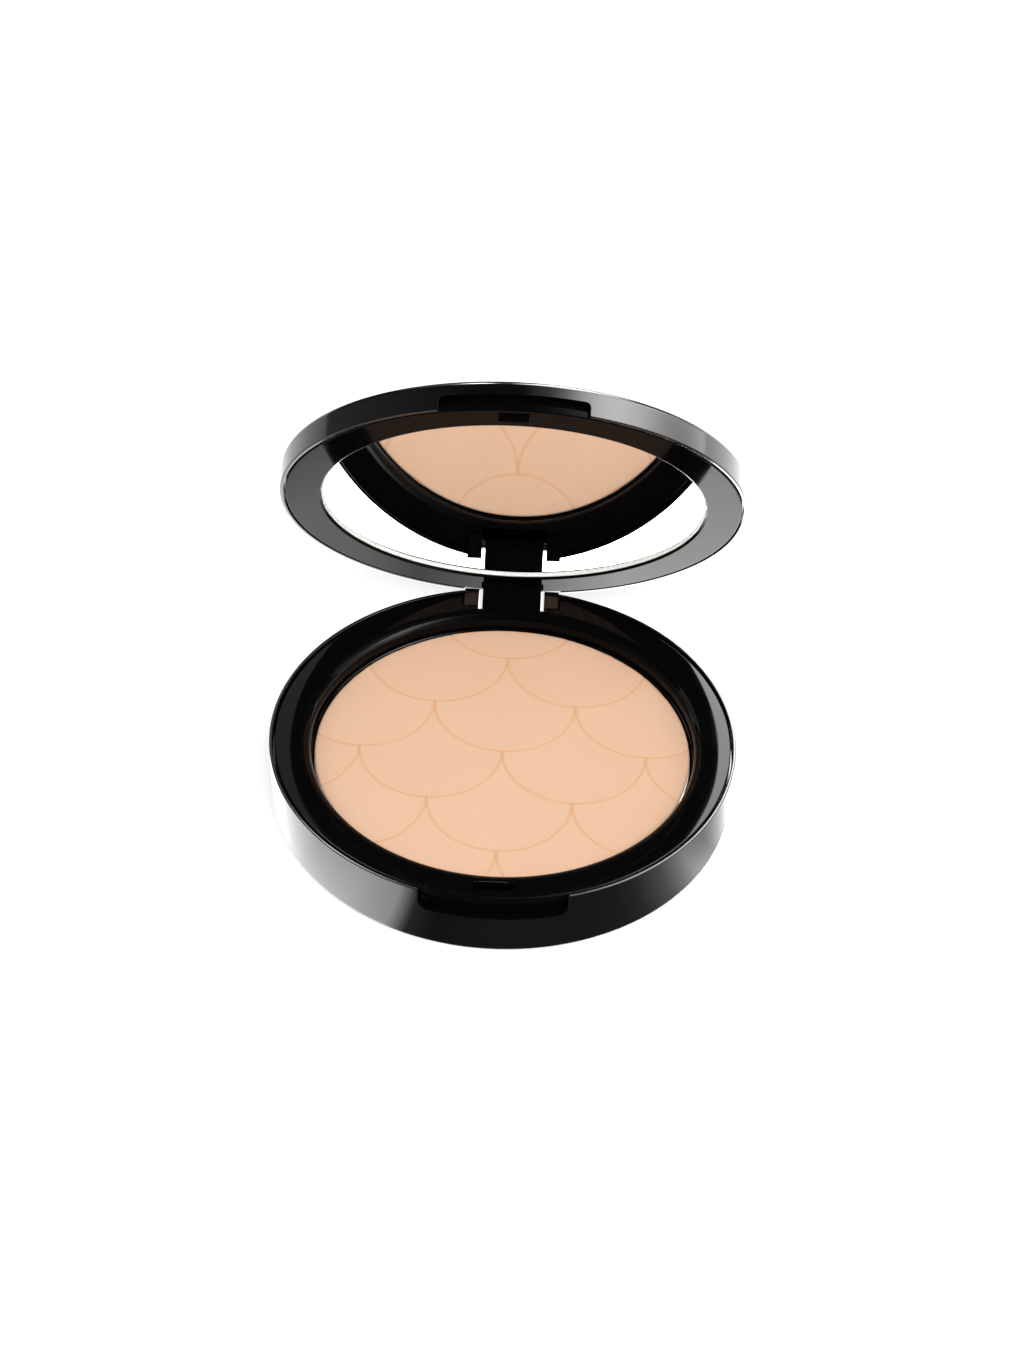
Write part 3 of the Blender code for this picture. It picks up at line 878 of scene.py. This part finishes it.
def make_world():
    """White where the camera looks past the floor, and soft even light."""
    world = bpy.data.worlds.new("studio")
    bpy.context.scene.world = world
    world.use_nodes = True
    n = Nodes(world, clear=True)
    rays = n.add("ShaderNodeLightPath")
    shade = n.mixed(rays.outputs["Is Camera Ray"], tuple([AMBIENT] * 3), (1.1, 1.1, 1.1))
    background = n.add("ShaderNodeBackground")
    n.link(shade, background.inputs["Color"])
    output = n.add("ShaderNodeOutputWorld")
    n.link(background.outputs["Background"], output.inputs["Surface"])


def room_share(n):
    """The room's glow by how far right and how far back a point of it is."""
    split = n.add("ShaderNodeSeparateXYZ")
    n.link(n.place(), split.inputs["Vector"])
    across = n.spread(split.outputs["X"], 0.0, 1.0, -ROOM_RADIUS, ROOM_RADIUS)
    along = n.spread(split.outputs["Y"], 0.0, 1.0, -ROOM_RADIUS, ROOM_RADIUS)
    both = n.add("ShaderNodeVectorMath", operation="MULTIPLY")
    n.link(n.levels(across, ROOM_ACROSS, ROOM_PEAK), both.inputs[0])
    n.link(n.levels(along, ROOM_ALONG, 1.0), both.inputs[1])
    return both.outputs["Vector"]


def make_room():
    """The studio as the gloss reflects it: dark, with a soft light high on the right."""
    bm = bmesh.new()
    bmesh.ops.create_uvsphere(bm, u_segments=64, v_segments=32, radius=ROOM_RADIUS)
    room = finished_mesh("room", bm)
    room.data.materials.append(glowing_material("room", ROOM_PEAK, room_share))
    only_reflected(room)


def card_share(n):
    """The floor card's glow by the angle round from the front and how far out it is."""
    split = n.add("ShaderNodeSeparateXYZ")
    n.link(n.place(), split.inputs["Vector"])
    back = n.add("ShaderNodeMath", operation="MULTIPLY")
    back.inputs[1].default_value = -1.0
    n.link(split.outputs["Y"], back.inputs[0])
    turn = n.add("ShaderNodeMath", operation="ARCTAN2")
    n.link(split.outputs["X"], turn.inputs[0])
    n.link(back.outputs["Value"], turn.inputs[1])
    share = n.spread(turn.outputs["Value"], 0.0, 1.0, -pi, pi)
    away = n.add("ShaderNodeVectorMath", operation="LENGTH")
    n.link(n.place(), away.inputs[0])
    distance = n.spread(away.outputs["Value"], 0.0, 1.0, 0.0, CARD_FADE[-1][0])
    fade = n.levels(distance, CARD_FADE, 1.0)
    both = n.add("ShaderNodeVectorMath", operation="MULTIPLY")
    n.link(n.levels(share, CARD_LEVELS, CARD_PEAK), both.inputs[0])
    n.link(fade, both.inputs[1])
    return both.outputs["Vector"]


def make_floor_card():
    """What the gloss sees where the floor is, by CARD_LEVELS and CARD_FADE."""
    bm = bmesh.new()
    bmesh.ops.create_circle(bm, cap_ends=True, segments=96, radius=3.0,
                            matrix=Matrix.Translation((0.0, 0.0, CARD_Z)))
    card = finished_mesh("floor_card", bm)
    card.data.materials.append(glowing_material("floor_card", CARD_PEAK, card_share))
    only_reflected(card)


def make_camera():
    """The lens and the place that the photograph's perspective calls for."""
    turn, tilt, roll = (radians(v) for v in CAMERA_ANGLES)
    back = Vector((sin(turn) * cos(tilt), -cos(turn) * cos(tilt), sin(tilt)))
    right = Vector((cos(turn), sin(turn), 0.0))
    up = back.cross(right)
    across = cos(roll) * right + sin(roll) * up
    upward = cos(roll) * up - sin(roll) * right
    camera = bpy.data.objects.new("camera", bpy.data.cameras.new("camera"))
    bpy.context.scene.collection.objects.link(camera)
    basis = Matrix((across, upward, back)).transposed().to_4x4()
    x, y, z = CAMERA_PLACE
    place = Vector((x, y, z + RIM_Z)) * MM
    camera.matrix_world = Matrix.Translation(place) @ basis
    camera.data.sensor_width = 36.0
    camera.data.lens = CAMERA_LENS
    camera.data.clip_start = 0.01
    bpy.context.scene.camera = camera


def make_studio():
    bpy.context.scene.view_settings.view_transform = "Standard"
    make_floor()
    make_floor_card()
    make_world()
    make_room()
    area_light("front_high", (0.1, -0.6, 0.8), (0, 0, 0.02), (0.7, 0.4), 10.5)
    area_light("key_left", (-0.7, -0.1, 0.6), (0, 0, 0.02), (0.7, 0.5), 1.6)
    area_light("key_right", (0.6, 0.05, 0.45), (0, 0, 0.02), (0.6, 0.5), 1.2)
    reflected_card("back_right", (0.17, 0.5, 0.5), (0.0, 0.0, 0.0), (0.3, 0.5), 28.0)
    reflected_card("back_left", (-0.19, 0.5, 0.5), (0.0, 0.0, 0.0), (0.3, 0.5), 1.7)
    reflected_card("spark", (-0.13, 0.31, 0.5), (0.0, 0.0, 0.0), (0.1, 0.12), 60.0)
    make_camera()


make_casing()
make_deck()
make_pan()
make_powder()
make_label()
make_pin()
make_lid_shell()
make_frame()
make_mirror()
dress_hidden_pieces()
make_studio()
